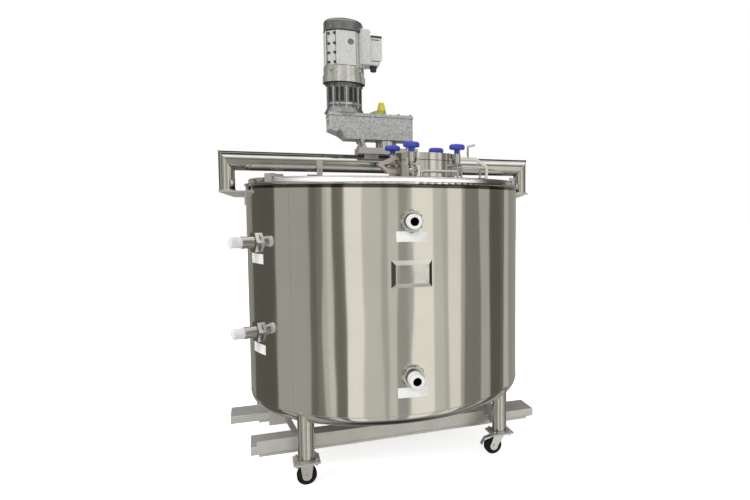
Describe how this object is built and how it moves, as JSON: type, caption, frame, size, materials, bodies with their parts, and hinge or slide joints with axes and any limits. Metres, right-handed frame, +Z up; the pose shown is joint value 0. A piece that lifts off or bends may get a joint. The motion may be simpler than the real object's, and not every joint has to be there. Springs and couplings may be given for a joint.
{
  "type": "jacketed mixing tank",
  "caption": "Round steel jacketed tank on casters with split covers, a clamped manway, a pipe bridge carrying a gear motor, and low lifting beams.",
  "frame": {"origin": "on the floor at the middle of the tank's footprint box; the tank's own axis stands about 40 mm behind it", "axes": "+X along the bridge pipe towards the swivel casters, -Y towards the front with the manway and the plate, +Z up"},
  "size_m": [1.4264, 1.3114, 1.924],
  "materials": {
    "beam_steel": "brushed plate",
    "black_tyre": "moulded",
    "blue_plastic": "moulded",
    "bolt_steel": "turned",
    "box_paint": "satin grey paint",
    "caster_zinc": "plated",
    "clip_steel": "brushed plate",
    "cover_steel": "polished sheet",
    "fitting_steel": "machined",
    "gearbox_cover_paint": "satin grey paint",
    "gearbox_paint": "satin grey paint",
    "leg_steel": "brushed pipe",
    "manway_steel": "polished",
    "motor_paint": "satin grey paint",
    "nameplate_steel": "blank etched plate",
    "output_steel": "machined",
    "pipe_steel": "polished pipe",
    "plate_steel": "brushed plate",
    "plug_plastic": "moulded",
    "polished_bottom": "polished sheet",
    "polished_shell": "mirror polished sheet",
    "rim_steel": "polished ring",
    "rod_steel": "polished rod",
    "vessel_steel": "polished sheet",
    "white_plastic": "moulded"
  },
  "bodies": {
    "tank": {"base_beams": "beam_steel", "beam_hangers": "beam_steel", "beam_rails": "beam_steel", "beam_strips": "beam_steel", "beam_struts": "beam_steel", "breather_plug": "plug_plastic", "bridge_brackets": "plate_steel", "bridge_clips": "plate_steel", "bridge_legs": "pipe_steel", "bridge_pipe": "pipe_steel", "cover_clips": "clip_steel", "cover_guard": "rod_steel", "cover_handle": "rod_steel", "cover_hinges": "clip_steel", "fan_cover": "motor_paint", "fitting_caps": "white_plastic", "fitting_sleeves": "white_plastic", "front_cover": "cover_steel", "gearbox": "gearbox_paint", "gearbox_cover": "gearbox_cover_paint", "inner_vessel": "vessel_steel", "jacket_bottom": "polished_bottom", "jacket_fittings": "fitting_steel", "jacket_shell": "polished_shell", "leg_plates": "leg_steel", "leg_ties": "beam_steel", "legs": "leg_steel", "lever_arm": "rod_steel", "manway_hinge": "clip_steel", "manway_lid": "manway_steel", "manway_neck": "manway_steel", "motor_adapter": "motor_paint", "motor_body": "motor_paint", "motor_end_bell": "motor_paint", "motor_mount": "plate_steel", "nameplate": "nameplate_steel", "nameplate_frame": "plate_steel", "output_flange": "output_steel", "rear_cover": "cover_steel", "rigid_forks": "caster_zinc", "rim_ring": "rim_steel", "swing_bolt_lugs": "plate_steel", "swivel_races": "caster_zinc", "terminal_box": "box_paint"},
    "swing_bolt_1_body": {"swing_bolt_1": "bolt_steel", "clamp_knob_1": "blue_plastic"},
    "swing_bolt_2_body": {"swing_bolt_2": "bolt_steel", "clamp_knob_2": "blue_plastic"},
    "swing_bolt_3_body": {"swing_bolt_3": "bolt_steel", "clamp_knob_3": "blue_plastic"},
    "swing_bolt_4_body": {"swing_bolt_4": "bolt_steel", "clamp_knob_4": "blue_plastic"},
    "wheel_front_left_body": {"wheel_front_left": "black_tyre"},
    "swivel_front_body": {"swivel_fork_front": "caster_zinc"},
    "wheel_front_right_body": {"wheel_front_right": "black_tyre"},
    "wheel_rear_left_body": {"wheel_rear_left": "black_tyre"},
    "swivel_rear_body": {"swivel_fork_rear": "caster_zinc"},
    "wheel_rear_right_body": {"wheel_rear_right": "black_tyre"}
  },
  "joints": [
    {"name": "wheel_front_left_spin", "type": "hinge", "parent": "tank", "child": "wheel_front_left_body", "pos_m": [-0.41, -0.36965, 0.0381], "axis": [0, 1, 0], "continuous": true},
    {"name": "swivel_front_turn", "type": "hinge", "parent": "tank", "child": "swivel_front_body", "pos_m": [0.41, -0.36965, 0.084], "axis": [0, 0, 1], "continuous": true},
    {"name": "wheel_front_right_spin", "type": "hinge", "parent": "swivel_front_body", "child": "wheel_front_right_body", "pos_m": [0.378, -0.36965, 0.0381], "axis": [0, 1, 0], "continuous": true},
    {"name": "wheel_rear_left_spin", "type": "hinge", "parent": "tank", "child": "wheel_rear_left_body", "pos_m": [-0.41, 0.45035, 0.0381], "axis": [0, 1, 0], "continuous": true},
    {"name": "swivel_rear_turn", "type": "hinge", "parent": "tank", "child": "swivel_rear_body", "pos_m": [0.41, 0.45035, 0.084], "axis": [0, 0, 1], "continuous": true},
    {"name": "wheel_rear_right_spin", "type": "hinge", "parent": "swivel_rear_body", "child": "wheel_rear_right_body", "pos_m": [0.378, 0.45035, 0.0381], "axis": [0, 1, 0], "continuous": true},
    {"name": "swing_bolt_1_hinge", "type": "hinge", "parent": "tank", "child": "swing_bolt_1_body", "pos_m": [0.18229, -0.17105, 1.243], "axis": [-0.8151, 0.5793, 0], "range_deg": [0, 80]},
    {"name": "swing_bolt_2_hinge", "type": "hinge", "parent": "tank", "child": "swing_bolt_2_body", "pos_m": [-0.0206, -0.20536, 1.243], "axis": [-0.5793, -0.8151, 0], "range_deg": [0, 80]},
    {"name": "swing_bolt_3_hinge", "type": "hinge", "parent": "tank", "child": "swing_bolt_3_body", "pos_m": [0.01371, -0.40825, 1.243], "axis": [0.8151, -0.5793, 0], "range_deg": [0, 80]},
    {"name": "swing_bolt_4_hinge", "type": "hinge", "parent": "tank", "child": "swing_bolt_4_body", "pos_m": [0.2166, -0.37394, 1.243], "axis": [0.5793, 0.8151, 0], "range_deg": [0, 80]}
  ]
}
